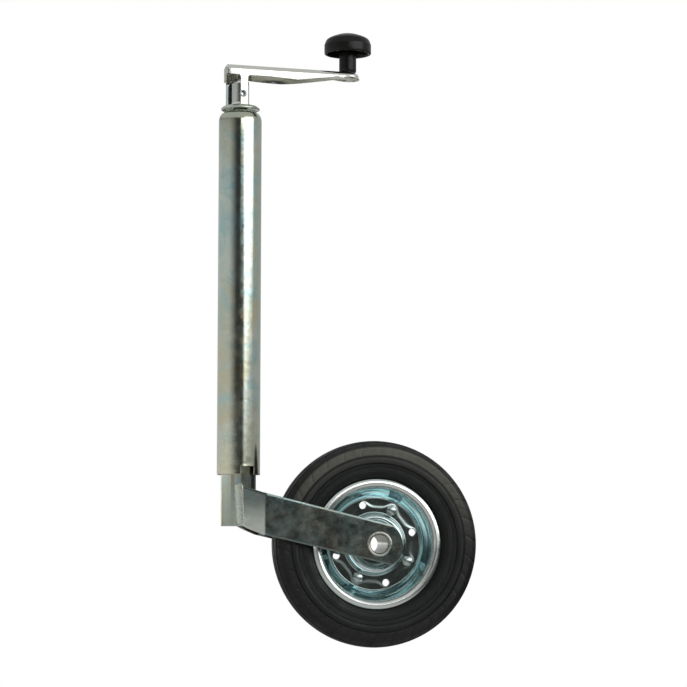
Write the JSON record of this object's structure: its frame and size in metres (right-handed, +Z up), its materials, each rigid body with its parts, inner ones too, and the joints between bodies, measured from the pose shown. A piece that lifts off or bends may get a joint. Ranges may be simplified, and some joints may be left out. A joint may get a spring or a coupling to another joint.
{
  "type": "trailer jack wheel",
  "caption": "Trailer jack wheel: a crank turns a screw inside a 48 mm clamp tube to raise or lower a leg whose welded fork carries a castoring rubber-tyred wheel",
  "frame": {"origin": "on the tube's axis, half way up the straight outer wall that the clamp grips", "axes": "+Z up the tube towards the crank; +X from the tube to the wheel, which is also where the crank points at rest; Y along the wheel's axle"},
  "size_m": [0.2927, 0.0712, 0.6929],
  "materials": {
    "zinc_tube": "satin zinc plate with a pale yellow and brown bloom",
    "zinc_blue": "bright zinc plate with a blue tint",
    "zinc_dark": "dull grey-green zinc plate, spangled",
    "steel": "plain machined steel",
    "hard_steel": "ground bearing steel",
    "nylon": "natural nylon",
    "tyre_rubber": "black rubber, lightly dusted",
    "knob_plastic": "black moulded plastic"
  },
  "bodies": {
    "tube": {"outer_tube": "zinc_tube", "bearing_seat": "steel", "bearing_race_upper": "hard_steel", "spindle_bush": "nylon"},
    "screw": {"spindle": "steel", "thrust_collar": "steel", "bearing_race_lower": "hard_steel", "spindle_end_stop": "steel", "crank_washer": "zinc_tube", "crank_socket": "zinc_tube", "crank_arm": "zinc_tube", "crank_pin": "steel", "knob_pin": "steel", "knob_clip": "hard_steel"},
    "cage": {"bearing_cage": "steel", "bearing_balls": "hard_steel"},
    "knob": {"crank_knob": "knob_plastic"},
    "guide": {"guide_bush": "nylon"},
    "leg": {"inner_tube": "zinc_tube", "spindle_nut": "steel", "guide_ring": "nylon", "fork_arm_front": "zinc_dark", "fork_arm_back": "zinc_dark", "fork_welds": "steel", "axle": "zinc_tube", "axle_spacer_front": "steel", "axle_spacer_back": "steel"},
    "wheel": {"tyre": "tyre_rubber", "rim_front": "zinc_blue", "rim_back": "zinc_blue", "rim_bolts": "steel", "rim_nuts": "steel", "hub_tube": "zinc_blue", "hub_bush_front": "nylon", "hub_bush_back": "nylon"}
  },
  "joints": [
    {"name": "crank_turn", "type": "hinge", "parent": "tube", "child": "screw", "pos_m": [0, 0, 0.2], "axis": [0, 0, -1], "range_deg": [-360, 19800]},
    {"name": "cage_turn", "type": "hinge", "parent": "tube", "child": "cage", "pos_m": [0, 0, 0.188], "axis": [0, 0, -1], "range_deg": [-180, 9900]},
    {"name": "knob_spin", "type": "hinge", "parent": "screw", "child": "knob", "pos_m": [0.1224, 0, 0.27], "axis": [0, 0, 1], "continuous": true},
    {"name": "leg_swivel", "type": "hinge", "parent": "tube", "child": "guide", "pos_m": [0, 0, -0.175], "axis": [0, 0, 1], "continuous": true},
    {"name": "leg_slide", "type": "slide", "parent": "guide", "child": "leg", "axis": [0, 0, -1], "range_m": [-0.004, 0.22]},
    {"name": "wheel_spin", "type": "hinge", "parent": "leg", "child": "wheel", "pos_m": [0.1534, 0, -0.274], "axis": [0, 1, 0], "continuous": true}
  ],
  "couplings": [
    {"joint": "leg_slide", "follows": "crank_turn", "m_per_rad": 0.0006366},
    {"joint": "cage_turn", "follows": "crank_turn", "ratio": 0.5}
  ]
}
